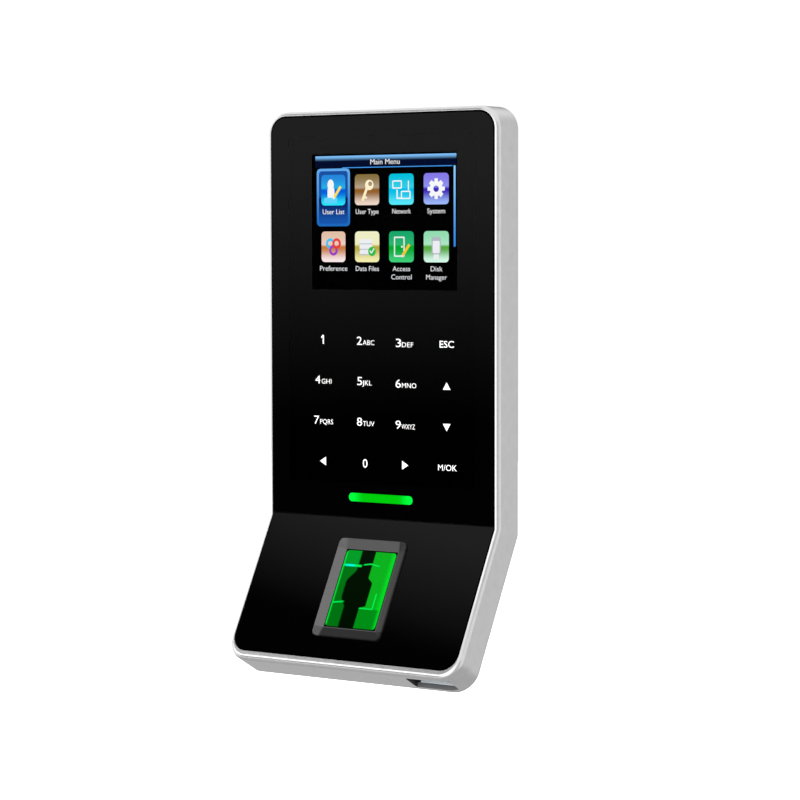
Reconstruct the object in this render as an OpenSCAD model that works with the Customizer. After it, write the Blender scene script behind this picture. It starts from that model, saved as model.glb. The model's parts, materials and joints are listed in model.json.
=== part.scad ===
// Fingerprint scanner terminal: a bent slim housing on a hooked steel wall plate.
// X is to the right for someone facing it, +Y goes into the wall and +Z is up.
// The origin lies on the wall plane, in the middle of the wall plate's four screw holes.
// d is a depth behind the front face, h a height above the bend, s a length down the tilted face.

/* [Housing] */
// Width over the silver frame
body_w = 78; // [76:0.5:84]
// Height of the upright part above the bend
upper_h = 115; // [114.5:0.5:118]
// Length of the tilted part below the bend
lower_l = 44.1; // [44:0.1:46]
// Tilt of the lower part towards the user, in degrees
tilt = 29; // [27:0.5:30]
// Depth of the silver frame, front to back
frame_d = 10.2; // [10.2:0.1:11]
// Depth from the front glass to the wall
wall_gap = 19.4; // [19.4:0.1:20.4]
// Width of the silver rim beside the glass
rim = 1.4; // [1.2:0.1:1.5]
// Radius of the frame's corners
corner_r = 6.5; // [5:0.5:8]

/* [Front] */
// Thickness of the touch glass and of the lower panel
glass_t = 1.8; // [1.6:0.1:1.8]
// Visible display area, width
display_w = 48.96; // [46:0.01:49]
// Visible display area, height
display_h = 37.9; // [36:0.1:38]
// Height of the display's middle above the bend
display_mid = 83.6; // [82:0.1:84]
// Distance from the centre line to the display's middle
display_x = 0; // [0:0.1:1]
// Width of the sensor bezel
bezel_w = 22.8; // [22:0.1:23.5]
// Length of the sensor bezel down the slope
bezel_l = 29.4; // [29:0.1:30]
// Distance from the bend to the sensor's middle
sensor_mid = 20.45; // [20:0.05:21]
// Width of the sensor's window
sensor_w = 17.4; // [16:0.1:17.6]
// Length of the sensor's window down the slope
sensor_l = 23.5; // [22:0.1:23.6]
// Width of the status light
light_w = 21.6; // [18:0.1:22]
// Height of the status light's middle above the bend
light_mid = 6.4; // [6:0.1:7]

/* [Wall plate] */
// Spacing of the four wall screws, sideways
wall_dx = 40; // [38:1:41]
// Spacing of the four wall screws, upright
wall_dz = 80; // [78:1:80]
// Spacing of the two back box screws
box_dz = 60.3; // [60:0.1:60.5]
// Thickness of the sheet steel
plate_t = 1.5; // [1.2:0.1:1.5]

/* [Moving parts] */
// Radius of the moulded bars that hang on the hooks
bar_r = 1.2; // [1.1:0.1:1.3]
// Radial clearance of running fits
run_gap = 0.05; // [0.02:0.01:0.08]

/* [Hidden] */
$fn = 48;

fit = 0.05;            // gap between pieces that lie against each other
over = 0.5;            // how far a cutter runs past what it cuts
plate_mid = 50;        // height of the wall plate's screw pattern above the bend
front_y = -wall_gap;
bend_z = -plate_mid;
panel_w = body_w - 2 * rim;
panel_top = upper_h - 1.3;
panel_l = lower_l - 2.4;
panel_r = corner_r - 1.5;
bend_k = tan(tilt / 2);

deck_d = glass_t + 0.3;       // front of the chassis deck, behind the adhesive
deck_t = 1.2;
chassis_wall = 1.5;
flange_d = frame_d - 1.4;     // front of the rear housing's flange
bump_w = 57;                  // rear housing's box behind the flange
bump_top = 112;
bump_bottom = -8;
bump_back = wall_gap - 2;     // depth of its back face
bump_wall = 2;
bulge_w = 34;                 // rear housing's bulge behind the sensor
bulge_d = frame_d + 9;
bulge_l = 36;

pivot_h = 101;                // height and depth of the hanger bars
pivot_d = wall_gap - 4.2;
hook_x = 16;
hook_w = 9;
lug_x = 23;
lug_w = 6.2;
lug_t = 1.2;
lug_top = -2;
lug_tip_d = wall_gap - 8;
lock_d = wall_gap - 5.2;      // depth of the lock screws' axes
lock_r = 1.5;
lock_head_r = 2.75;
lock_head_h = 2;
lock_head_top = -5.8;
plate_w = 52.6;
plate_bottom = lug_top - lug_t;
window_w = 30;                // cable window in the wall plate
window_h = 24;

board_d = 7.2;                // main board
board_t = 1.2;
board_back = board_d + board_t;
board_w = 58;
board_low = 7;
board_high = 111;
cell_back = 15;               // back of the sensor housing

port_x = 28.4;                // middle of the port, sideways and in depth
port_d = 5.15;
port_hole_w = 13.6;
port_hole_d = 6.3;
port_w = 13.1;
port_h = 5.6;
port_wall = 0.35;
port_end = lower_l - 1.3;     // its mouth lies inside the end wall
port_start = 28;

tamper = [13, 26];            // x and h of the tamper switch
tamper_r = 1.5;
tamper_collar = 14;           // depth of the front of the plunger's collar
tamper_body = 3;              // height of the tamper switch over the board
reset = [-13, 30];            // x and h of the reset switch
reset_r = 1.2;

seal_t = 0.8;                 // the seal lies on the chassis wall's end
case_screw_x = 32.6;
case_screws_upper = [for (h = [8, 60, 106], side = [-1, 1]) [side * case_screw_x, h]];
case_screws_lower = [for (side = [-1, 1]) [side * case_screw_x, 16]];
board_screw_at = [for (h = [9.7, 60.1, 107.3], side = [-1, 1]) [side * 24, h]];

// ---- frames of reference and shared shapes ----

// Draws in the upright part's frame: X, depth and height above the bend
module upright() {
  translate([0, front_y, bend_z]) children();
}

// Draws in the tilted part's frame: X, depth and minus the length down the slope
module tilted() {
  translate([0, front_y, bend_z]) rotate([-tilt, 0, 0]) children();
}

// Depth and height of a point that is given by its depth and length on the tilted part
function on_slope(d, s) = [d * cos(tilt) - s * sin(tilt), -d * sin(tilt) - s * cos(tilt)];

// A block from its middle in X, its depths and its heights
module block(x, w, d0, d1, z0, z1) {
  translate([x - w / 2, d0, z0]) cube([w, d1 - d0, z1 - z0]);
}

// A cylinder along the depth, at an X and a height
module post(x, z, r, d0, d1) {
  translate([x, d0, z]) rotate([-90, 0, 0]) cylinder(r = r, h = d1 - d0);
}

// A cylinder along the height, at an X and a depth
module stem(x, d, r, z0, z1) {
  translate([x, d, z0]) cylinder(r = r, h = z1 - z0);
}

// Extrudes an outline drawn in X and height from one depth to another
module slab(d0, d1) {
  translate([0, d1, 0]) rotate([90, 0, 0]) linear_extrude(d1 - d0) children();
}

// Extrudes a side outline drawn in depth and height along X
module side_slab(w) {
  rotate([90, 0, 90]) linear_extrude(w, center = true) children();
}

// Rectangle with two round corners at its top, or at its bottom where flip is -1
module round_end(w, z0, z1, r, flip = 1) {
  mirror([0, flip < 0 ? 1 : 0]) {
    translate([-w / 2, z0]) square([w, z1 - z0 - r]);
    translate([-w / 2 + r, z0]) square([w - 2 * r, z1 - z0]);
    for (side = [-1, 1]) translate([side * (w / 2 - r), z1 - r]) circle(r);
  }
}

// Rectangle with four round corners round the origin
module round_plate(w, h, r) {
  square([w - 2 * r, h], center = true);
  square([w, h - 2 * r], center = true);
  for (x = [-1, 1], y = [-1, 1]) translate([x * (w / 2 - r), y * (h / 2 - r)]) circle(r);
}

// The bent slab that all layers of the housing share, between two depths
module bent_slab(w, top, length, r, d0, d1) {
  profile = [
    [d0, top], [d1, top], [d1, -d1 * bend_k], on_slope(d1, length), on_slope(d0, length), [d0, -d0 * bend_k]
  ];
  intersection() {
    upright() side_slab(w) polygon(profile);
    union() {
      upright() slab(d0 - over, d1 + over) round_end(w, -d1 * bend_k - over, top, r);
      tilted() slab(d0 - over, d1 + over) round_end(w, -d1 * bend_k - over, length, r, -1);
    }
  }
}

// Rounded block on the slope, round the sensor's middle
module sensor_block(w, l, r, d0, d1) {
  tilted() translate([0, 0, -sensor_mid]) slab(d0, d1) round_plate(w, l, r);
}

// ---- housing ----

module wall_plate() {
  color("lightgray") upright() {
    difference() {
      union() {
        block(0, plate_w, wall_gap - plate_t, wall_gap, plate_bottom, pivot_h);
        for (side = [-1, 1]) {
          hook_block(side * hook_x);
          block(side * lug_x, lug_w, lug_tip_d, wall_gap - plate_t + fit, plate_bottom, lug_top);
        }
      }
      for (side = [-1, 1]) {
        translate([side * hook_x, pivot_d, pivot_h]) bar(bar_r + run_gap, hook_w + 2 * over);
        stem(side * lug_x, lock_d, lock_r + 0.25, plate_bottom - over, lug_top + over);
        block(side * lug_x, 2 * lock_r + 0.5, lug_tip_d - over, lock_d, plate_bottom - 1, lug_top + 1);
      }
      for (x = [-1, 1], z = [-1, 1]) {
        post(x * wall_dx / 2, plate_mid + z * wall_dz / 2, 2.1, wall_gap - plate_t - over, wall_gap + over);
      }
      for (z = [-1, 1]) {
        post(0, plate_mid + z * box_dz / 2, 1.9, wall_gap - plate_t - over, wall_gap + over);
      }
      slab_window(window_w, window_h, wall_gap - plate_t - over, wall_gap + over);
    }
  }
}

// Cradle that a hanger bar drops into, with a raised lip in front
module hook_block(x) {
  front = pivot_d - bar_r - 1.4;
  block(x, hook_w, front, wall_gap - plate_t + fit, pivot_h - 2.6, pivot_h);
  block(x, hook_w, front, front + 1.2, pivot_h - 2.6, pivot_h + 0.9);
}

// A bar along X round the current origin
module bar(r, w) {
  rotate([0, 90, 0]) cylinder(r = r, h = w, center = true);
}

// The rounded window for the cables, in the middle of the wall plate
module slab_window(w, h, d0, d1) {
  translate([0, 0, plate_mid]) slab(d0, d1) round_plate(w, h, 3);
}

module front_frame() {
  color("silver") difference() {
    bent_slab(body_w, upper_h, lower_l, corner_r, 0, frame_d);
    bent_slab(panel_w + 2 * fit, panel_top + fit, panel_l + fit, panel_r, -over, frame_d + over);
    port_cutter();
  }
}

// The port's opening through the end wall
module port_cutter() {
  tilted() translate([port_x, 0, 0]) {
    block(0, port_hole_w, port_d - port_hole_d / 2, port_d + port_hole_d / 2, -lower_l - over, -port_start);
  }
}

module inner_chassis() {
  outline_w = panel_w - 2 * fit;
  color("dimgray") difference() {
    union() {
      difference() {
        bent_slab(outline_w, panel_top - fit, panel_l - fit, panel_r, deck_d, flange_d - seal_t - 0.02);
        bent_slab(
          outline_w - 2 * chassis_wall, panel_top - fit - chassis_wall, panel_l - fit - chassis_wall,
          panel_r - chassis_wall, deck_d + deck_t, flange_d + over
        );
      }
      upright() for (p = case_screws_upper) post(p[0], p[1], 2.4, deck_d + 0.2, flange_d - 1.05);
      tilted() for (p = case_screws_lower) post(p[0], -p[1], 2.4, deck_d + 0.2, flange_d - 1.05);
      upright() for (p = board_screw_at) post(p[0], p[1], 1.95, deck_d + 0.2, board_d - fit);
    }
    upright() {
      block(display_x, 61, deck_d - over, deck_d + deck_t + over, display_mid - 21.8, display_mid + 21.8);
      block(0, 61, deck_d - over, deck_d + deck_t + over, 11.4, 58.6);
      block(0, light_w + 0.6, deck_d - over, deck_d + deck_t + over, light_mid - 1.5, light_mid + 1.5);
      for (p = case_screws_upper) post(p[0], p[1], 1.1, deck_d + deck_t + 0.6, flange_d);
      for (p = board_screw_at) post(p[0], p[1], 1, deck_d + deck_t + 0.6, board_d + over);
    }
    tilted() for (p = case_screws_lower) post(p[0], -p[1], 1.1, deck_d + deck_t + 0.6, flange_d);
    sensor_block(22.2, 28.4, 1, deck_d - over, deck_d + deck_t + over);
    port_cutter();
  }
}

module touch_glass() {
  color("black") upright() slab(0, glass_t) round_end(panel_w, 0.12, panel_top, panel_r);
}

module glass_adhesive() {
  color("gray") upright() slab(glass_t + 0.02, deck_d - 0.02) difference() {
    round_end(panel_w - 3, 1.6, panel_top - 1.5, panel_r - 1.5);
    translate([display_x, display_mid]) square([display_w + 3, display_h + 3], center = true);
    translate([0, 35]) square([60, 46], center = true);
    translate([0, light_mid]) square([light_w + 2, 4], center = true);
  }
}

module lower_panel() {
  color("black") difference() {
    tilted() slab(0, glass_t) round_end(panel_w, 0.12, panel_l, panel_r, -1);
    sensor_block(bezel_w - 1.4, bezel_l - 1.8, 1.2, -over, glass_t + over);
  }
}

module rear_housing() {
  color([0.13, 0.13, 0.14]) difference() {
    union() {
      difference() {
        union() {
          bent_slab(panel_w - 2 * fit, panel_top - fit, panel_l - fit, panel_r, flange_d, frame_d - fit);
          bump_solid(0);
          bulge_solid(0);
          upright() for (p = case_screws_upper) post(p[0], p[1], 2.8, flange_d - 1, frame_d - fit);
          tilted() for (p = case_screws_lower) post(p[0], -p[1], 2.8, flange_d - 1, frame_d - fit);
          upright() for (side = [-1, 1]) {
            block(side * (bump_w / 2 - 0.7), 1.4, bump_back - fit, wall_gap - 0.3, plate_bottom, 95);
          }
        }
        bump_solid(bump_wall);
        bulge_solid(bump_wall);
      }
      intersection() {
        bump_solid(0);
        upright() {
          for (side = [-1, 1]) {
            block(side * (lug_x + 1), 11, frame_d - 1, bump_back, bump_bottom, 3.2);
            block(side * hook_x, hook_w + 5, pivot_d - 5.2, bump_back, pivot_h - 6.2, bump_top);
          }
          for (x = [-1, 1], z = [-1, 1]) {
            post(x * wall_dx / 2, plate_mid + z * wall_dz / 2, 5.8, bump_back - 4.6, bump_back);
          }
          for (z = [-1, 1]) post(0, plate_mid + z * box_dz / 2, 5.8, bump_back - 4.6, bump_back);
        }
      }
    }
    rear_cutters();
    hook_pockets();
  }
  color([0.13, 0.13, 0.14]) upright() for (side = [-1, 1]) {
    translate([side * hook_x, pivot_d, pivot_h]) bar(bar_r, hook_w + 1.6);
  }
}

// The box behind the flange, shrunk by wall for its inside
module bump_solid(wall) {
  wide = bump_w - 2 * wall;
  top = bump_top - wall;
  low = bump_bottom + wall;
  front = frame_d - 0.4 - 2 * wall;
  edge_d = frame_d - (low + frame_d * bend_k) * tan(tilt) - 0.4 - 2 * wall;
  profile = [
    [front, top], [bump_back - wall, top], [bump_back - wall, low], [edge_d, low],
    [front, -front * bend_k]
  ];
  upright() side_slab(wide) polygon(profile);
}

// The bulge behind the sensor, shrunk by wall for its inside
module bulge_solid(wall) {
  deep = bulge_d - wall;
  shallow = frame_d - 0.4 - 2 * wall;
  start = deep * cos(tilt) - (bump_back - wall);
  profile = [
    [bump_back - wall, -deep * sin(tilt) - start / sin(tilt) * cos(tilt)],
    on_slope(deep, bulge_l - wall), on_slope(shallow, bulge_l - wall), [shallow, -shallow * bend_k],
    [bump_back - wall, -shallow * bend_k]
  ];
  upright() side_slab(bulge_w - 2 * wall) polygon(profile);
}

// Holes in the rear housing for screws, cables, switches, sound and the plate's lugs
module rear_cutters() {
  upright() {
    for (p = case_screws_upper) screw_hole(p[0], p[1]);
    for (x = [-1, 1], z = [-1, 1]) {
      post(x * wall_dx / 2, plate_mid + z * wall_dz / 2, 4.6, bump_back - 3.4, bump_back + over);
    }
    for (z = [-1, 1]) post(0, plate_mid + z * box_dz / 2, 4.6, bump_back - 3.4, bump_back + over);
    slab_window(window_w + 2, window_h - 2, bump_back - bump_wall - over, bump_back + over);
    post(tamper[0], tamper[1], tamper_r + run_gap, bump_back - bump_wall - over, bump_back + over);
    post(reset[0], reset[1], reset_r + run_gap, bump_back - bump_wall - over, bump_back + over);
    for (i = [-2:2]) block(i * 2.4, 1, bump_back - bump_wall - over, bump_back + over, 66, 73);
    for (side = [-1, 1]) {
      block(side * lug_x, lug_w + 1.4, lug_tip_d - 0.8, wall_gap, plate_bottom - 0.7, lug_top + 0.7);
      stem(side * lug_x, lock_d, lock_r + run_gap, bump_bottom - over, 4);
      stem(side * lug_x, lock_d, lock_head_r + 0.2, bump_bottom - over, lock_head_top + 0.02);
      stem(side * lug_x, lock_d, 2.22, -0.8 - fit, 4);
    }
  }
  tilted() for (p = case_screws_lower) screw_hole(p[0], -p[1]);
}

module screw_hole(x, z) {
  post(x, z, 1.2, flange_d - 1 - over, frame_d + over);
  post(x, z, 2.2, frame_d - 1.25, frame_d + over);
}

// Openings in the back that the plate's hooks reach into
module hook_pockets() {
  upright() for (side = [-1, 1]) {
    block(side * hook_x, hook_w + 1.2, pivot_d - 4, wall_gap, pivot_h - 5, pivot_h + 3.4);
  }
}

module rear_seal() {
  rim_in = 0.2;
  rim_out = 1.4;
  front = flange_d - seal_t;
  color([0.1, 0.1, 0.1]) difference() {
    inset_slab(rim_in, front, flange_d - 0.02);
    inset_slab(rim_out, front - over, flange_d + over);
  }
}

// The panel's outline, smaller by an inset all round
module inset_slab(inset, d0, d1) {
  bent_slab(panel_w - 2 * inset, panel_top - inset, panel_l - inset, panel_r - inset, d0, d1);
}

module case_screws() {
  color("gray") {
    upright() for (p = case_screws_upper) case_screw(p[0], p[1]);
    tilted() for (p = case_screws_lower) case_screw(p[0], -p[1]);
  }
}

// Pan head screw with a cross recess, driven in from the back
module case_screw(x, z) {
  difference() {
    union() {
      post(x, z, 2, frame_d - 1.23, frame_d - 0.05);
      post(x, z, 1.05, 4.2, frame_d - 1);
    }
    block(x, 2.2, frame_d - 0.7, frame_d + over, z - 0.25, z + 0.25);
    block(x, 0.5, frame_d - 0.7, frame_d + over, z - 1.1, z + 1.1);
  }
}

// ---- display ----

module display_panel() {
  color([0.05, 0.06, 0.09]) upright() {
    block(display_x, 57.5, deck_d + 0.05, deck_d + 1.25, display_mid - 20.8, display_mid + 20.8);
  }
}

module display_backlight() {
  color("whitesmoke") upright() difference() {
    block(display_x, 60.3, deck_d + 0.3, deck_d + 2.9, display_mid - 21.4, display_mid + 21.4);
    block(display_x, 57.7, deck_d, deck_d + 1.3, display_mid - 20.9, display_mid + 20.9);
  }
}

module display_bracket() {
  color("lightsteelblue") upright() difference() {
    union() {
      block(display_x, 60, deck_d + 2.95, deck_d + 3.45, display_mid - 21.4, display_mid + 21.4);
      block(display_x, 24, deck_d + 2.95, deck_d + 3.45, display_mid - 22.6, display_mid + 22.6);
      for (side = [-1, 1]) translate([0, 0, display_mid + side * 22.3]) {
        block(display_x, 24, deck_d + deck_t + 0.05, deck_d + 3.4, -0.3, 0.3);
      }
    }
    block(display_x, 44, deck_d + 2.5, deck_d + 4, display_mid - 12, display_mid + 12);
  }
}

module display_cable() {
  loop = [
    [-19, deck_d + 3.0], [-19, deck_d + 3.6], [-3, deck_d + 3.75], [-1, board_d - 0.7],
    [4, board_d - 0.7], [4, board_d - 0.4], [-1.3, board_d - 0.4], [-3.3, deck_d + 4.0],
    [-19.3, deck_d + 3.9], [-19.3, deck_d + 3.0]
  ];
  color("peru") upright() translate([0, 0, display_mid - 9]) linear_extrude(18) polygon(loop);
}

// ---- keypad, card reader and status light ----

module keypad_light_guide() {
  color("white") upright() block(0, 60, deck_d + 0.05, deck_d + 0.85, 12, 58);
}

module keypad_board() {
  color("darkgreen") upright() block(0, 60, deck_d + 1.4, deck_d + 2.2, 12, 58);
}

// One small light source under each of the sixteen key areas
module keypad_lights() {
  color("lightyellow") upright() for (x = [-19.6, -5.1, 8.1, 22.2], z = [16.05, 27.3, 38.8, 50]) {
    block(x, 1.6, deck_d + 0.88, deck_d + 1.38, z - 0.4, z + 0.4);
  }
}

module card_antenna() {
  color("olivedrab") upright() {
    block(0, 54, deck_d + 2.5, deck_d + 3.1, 13, 57);
    for (i = [0:3]) {
      translate([0, 0, 35]) slab(deck_d + 3.08, deck_d + 3.2) difference() {
        square([51 - 3 * i, 41 - 3 * i], center = true);
        square([49.6 - 3 * i, 39.6 - 3 * i], center = true);
      }
    }
  }
}

module status_light_bar() {
  color("lime") upright() translate([0, 0, light_mid]) slab(deck_d + 0.02, deck_d + 2.6) {
    round_plate(light_w, 2.4, 1.19);
  }
}

module status_light_board() {
  color("darkgreen") upright() block(0, 26, deck_d + 3.3, deck_d + 4.1, light_mid - 3, light_mid + 3);
}

module status_lights() {
  color("white") upright() for (x = [-7, 0, 7]) {
    block(x, 3, deck_d + 2.62, deck_d + 3.28, light_mid - 1, light_mid + 1);
  }
}

// ---- fingerprint sensor ----

module sensor_bezel() {
  color("dimgray") difference() {
    union() {
      sensor_block(bezel_w, bezel_l, 1.6, -0.6, -0.02);
      sensor_block(bezel_w - 1.5, bezel_l - 1.9, 1.1, -0.1, deck_d + 0.8);
    }
    sensor_block(sensor_w + 0.1, sensor_l + 0.1, 0.15, -2, 4);
  }
}

module sensor_prism() {
  top = -sensor_mid + sensor_l / 2;
  low = -sensor_mid - sensor_l / 2;
  wedge = [[0.4, top], [3.4, top], [10, low + 7], [10, low + 3], [3.4, low], [0.4, low]];
  color([0, 0.55, 0.1]) tilted() side_slab(sensor_w) polygon(wedge);
}

module sensor_housing() {
  color([0.12, 0.12, 0.12]) difference() {
    sensor_block(20.8, 26.8, 1, deck_d + 0.9, cell_back);
    sensor_block(18.8, 24.8, 0.6, deck_d, cell_back + over);
  }
}

module sensor_lens() {
  color("darkslategray") tilted() translate([0, 0, -sensor_mid - 5]) {
    post(0, 0, 2.6, 10.6, 12.4);
    post(0, 0, 3.1, 12.35, 12.9);
  }
}

module sensor_camera() {
  color("black") tilted() block(0, 7.4, 12.92, cell_back, -sensor_mid - 8.7, -sensor_mid - 1.3);
}

module sensor_lights() {
  color("limegreen") tilted() for (x = [-6.6, 6.6], z = [-9, 9]) {
    block(x, 1.8, cell_back - 1.1, cell_back - 0.02, -sensor_mid + z - 1, -sensor_mid + z + 1);
  }
}

module sensor_board() {
  color("darkgreen") sensor_block(20.8, 26.8, 0.5, cell_back + 0.02, cell_back + 1);
}

// Flat cable from the sensor board up to the main board
module sensor_cable() {
  thin = [0.3, 0];
  route = [
    on_slope(cell_back + 1.02, 13), on_slope(cell_back + 1.3, 8.2), [14.2, -2], [11.6, 9],
    [board_back + 0.02, 16]
  ];
  back = [for (i = [len(route) - 1:-1:0]) route[i] + thin];
  color("peru") upright() side_slab(9) polygon(concat(route, back));
}

// ---- main board ----

// A block standing on the back of the main board
module part_on_board(x, z, w, h, tall) {
  upright() block(x, w, board_back + 0.02, board_back + tall, z - h / 2, z + h / 2);
}

module main_board() {
  color("green") difference() {
    upright() block(0, board_w, board_d, board_back, board_low, board_high);
    upright() for (p = board_screw_at) post(p[0], p[1], 1.15, board_d - over, board_back + over);
  }
}

module board_screws() {
  color("silver") upright() for (p = board_screw_at) {
    post(p[0], p[1], 2.2, board_back + 0.02, board_back + 1.3);
    post(p[0], p[1], 0.95, board_d - 2.5, board_back + 0.1);
  }
}

module processor() {
  color([0.1, 0.1, 0.1]) part_on_board(-12, 84, 15, 15, 1.4);
}

module memory_chips() {
  color([0.12, 0.12, 0.12]) {
    part_on_board(4, 90, 11, 8, 1.1);
    part_on_board(4, 79, 11, 8, 1.1);
  }
}

module radio_shield() {
  color("silver") difference() {
    part_on_board(19, 84, 14, 18, 2.6);
    upright() block(19, 13.4, board_back - over, board_back + 2.3, 75.3, 92.7);
  }
}

// White wafer connectors in the wiring bay: network, power, lock and reader
module wiring_connectors() {
  pins = [6, 4, 5];
  color("ivory") for (i = [0:2]) wafer((i - 1) * 9.6, pins[i]);
}

module wafer(x, pins) {
  tall = 5.4;
  half = pins + 0.8;
  upright() translate([0, 0, plate_mid]) {
    difference() {
      block(x, 6, board_back + 0.02, board_back + tall, -half, half);
      block(x, 4.6, board_back + 1, board_back + tall + 1, 0.7 - half, half - 0.7);
    }
    for (i = [0:pins - 1]) translate([0, 0, 2 * i + 1 - pins]) {
      block(x, 0.5, board_back + 0.9, board_back + tall - 1, -0.25, 0.25);
    }
  }
}

module lock_relay() {
  color("steelblue") part_on_board(-18.5, 67.3, 12, 9, 6.2);
}

module buzzer() {
  color([0.15, 0.15, 0.15]) upright() difference() {
    post(0, 68, 5.8, board_back + 0.02, board_back + 5);
    post(0, 68, 1, board_back + 3.5, board_back + 6);
  }
}

module clock_battery() {
  color("silver") upright() post(17.5, 67.5, 6.2, board_back + 1, board_back + 2.6);
}

module battery_holder() {
  color([0.2, 0.2, 0.2]) upright() difference() {
    post(17.5, 67.5, 7.2, board_back + 0.02, board_back + 2.5);
    post(17.5, 67.5, 6.25, board_back + 0.9, board_back + 4);
    block(17.5, 16, board_back + 1.4, board_back + 4, 65.5, 69.5);
  }
}

module capacitors() {
  color("slategray") upright() {
    for (x = [-5.8, 0, 5.8]) post(x, 97.5, 2.5, board_back + 0.02, board_back + 5.4);
  }
}

// ---- port in the bottom end ----

module port_board() {
  color("darkgreen") tilted() block(port_x, 13, port_d + port_h / 2 + 0.03, flange_d - 0.12, -38.4, -22);
}

module port_shell() {
  color("gainsboro") tilted() difference() {
    block(port_x, port_w, port_d - port_h / 2, port_d + port_h / 2, -port_end, -port_start);
    block(port_x, port_w - 2 * port_wall, port_d - port_h / 2 + port_wall, port_d + port_h / 2 - port_wall,
          -port_end - over, -port_start - 1);
  }
}

module port_tongue() {
  color("whitesmoke") tilted() {
    block(port_x, 11.1, port_d - 2.2, port_d - 0.35, -port_end + 0.9, -port_start - 1.05);
    block(port_x, port_w - 2 * port_wall - 0.1, port_d - port_h / 2 + port_wall + 0.05,
          port_d + port_h / 2 - port_wall - 0.05, -port_start - 3, -port_start - 1.02);
  }
}

module port_contacts() {
  color("gold") tilted() for (x = [-3.5, -1, 1, 3.5]) {
    block(port_x + x, 1, port_d - 0.33, port_d - 0.13, -port_end + 1.6, -port_start - 3.05);
  }
}

// ---- moving parts ----

module tamper_switch() {
  color("black") difference() {
    part_on_board(tamper[0], tamper[1], 7, 7, tamper_body);
    upright() post(tamper[0], tamper[1], 1 + run_gap, board_back + 0.6, board_back + tamper_body + over);
  }
}

module tamper_plunger() {
  tip = wall_gap - plate_t - 0.05;
  color("white") upright() {
    post(tamper[0], tamper[1], tamper_r, tamper_collar, tip);
    post(tamper[0], tamper[1], 2.4, tamper_collar, tamper_collar + 0.7);
    post(tamper[0], tamper[1], 1, board_back + 2, tamper_collar + 0.1);
  }
}

// Coil of round wire between the switch and the plunger's collar
module tamper_spring() {
  wire = 0.15;
  coil_r = 1.45;
  turns = 3.5;
  sides = 8;
  rings = 56;
  low = board_back + tamper_body + wire + 0.02;
  rise = tamper_collar - low - wire - 0.02;
  function ring(i, k) = let (
    a = 360 * turns * i / rings, b = 360 * k / sides, r = coil_r + wire * cos(b)
  ) [r * cos(a), low + rise * i / rings + wire * sin(b), r * sin(a)];
  points = [for (i = [0:rings], k = [0:sides - 1]) ring(i, k)];
  walls = [for (i = [0:rings - 1], k = [0:sides - 1]) let (n = (k + 1) % sides)
    [i * sides + k, i * sides + n, (i + 1) * sides + n, (i + 1) * sides + k]];
  first = [for (k = [sides - 1:-1:0]) k];
  last = [for (k = [0:sides - 1]) rings * sides + k];
  color("lightgray") upright() translate([tamper[0], 0, tamper[1]]) {
    polyhedron(points, concat([first], walls, [last]), convexity = 6);
  }
}

module reset_switch() {
  color("lightgray") difference() {
    part_on_board(reset[0], reset[1], 6, 6, 3.4);
    upright() post(reset[0], reset[1], reset_r + run_gap, board_back + 2, board_back + 5);
  }
}

module reset_button() {
  color("red") upright() post(reset[0], reset[1], reset_r, board_back + 2.6, bump_back - 0.6);
}

module lock_screw(side) {
  color("silver") upright() difference() {
    union() {
      stem(side * lug_x, lock_d, lock_head_r, lock_head_top - lock_head_h, lock_head_top);
      stem(side * lug_x, lock_d, lock_r, lock_head_top - 0.1, 2);
    }
    stem_hex(side * lug_x, lock_d, 1.2, lock_head_top - lock_head_h - over, lock_head_top - 0.8);
  }
}

// Six-sided recess in the head
module stem_hex(x, d, r, z0, z1) {
  translate([x, d, z0]) cylinder(r = r, h = z1 - z0, $fn = 6);
}

module lock_screw_left() {
  lock_screw(-1);
}

module lock_screw_right() {
  lock_screw(1);
}

module lock_nuts() {
  color("goldenrod") upright() for (side = [-1, 1]) difference() {
    stem(side * lug_x, lock_d, 2.2, -0.8, 3);
    stem(side * lug_x, lock_d, lock_r + run_gap, -2, 4);
  }
}

wall_plate();
front_frame();
inner_chassis();
touch_glass();
glass_adhesive();
lower_panel();
rear_housing();
rear_seal();
case_screws();
display_panel();
display_backlight();
display_bracket();
display_cable();
keypad_light_guide();
keypad_board();
keypad_lights();
card_antenna();
status_light_bar();
status_light_board();
status_lights();
sensor_bezel();
sensor_prism();
sensor_housing();
sensor_lens();
sensor_camera();
sensor_lights();
sensor_board();
sensor_cable();
main_board();
board_screws();
processor();
memory_chips();
radio_shield();
wiring_connectors();
lock_relay();
buzzer();
clock_battery();
battery_holder();
capacitors();
port_board();
port_shell();
port_tongue();
port_contacts();
tamper_switch();
tamper_plunger();
tamper_spring();
reset_switch();
reset_button();
lock_screw_left();
lock_screw_right();
lock_nuts();
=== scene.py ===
"""Looks of a fingerprint scanner terminal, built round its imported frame.

Pieces are shaped in millimetres in the frame of the face they belong to and then put in their
place. On the upright part that frame is X, depth behind the glass and height above the bend. On
the tilted part its third axis runs up the slope, so a length down the slope is negative there.
"""
import json
import math

import bmesh
import bpy
from mathutils import Matrix, Vector


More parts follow.
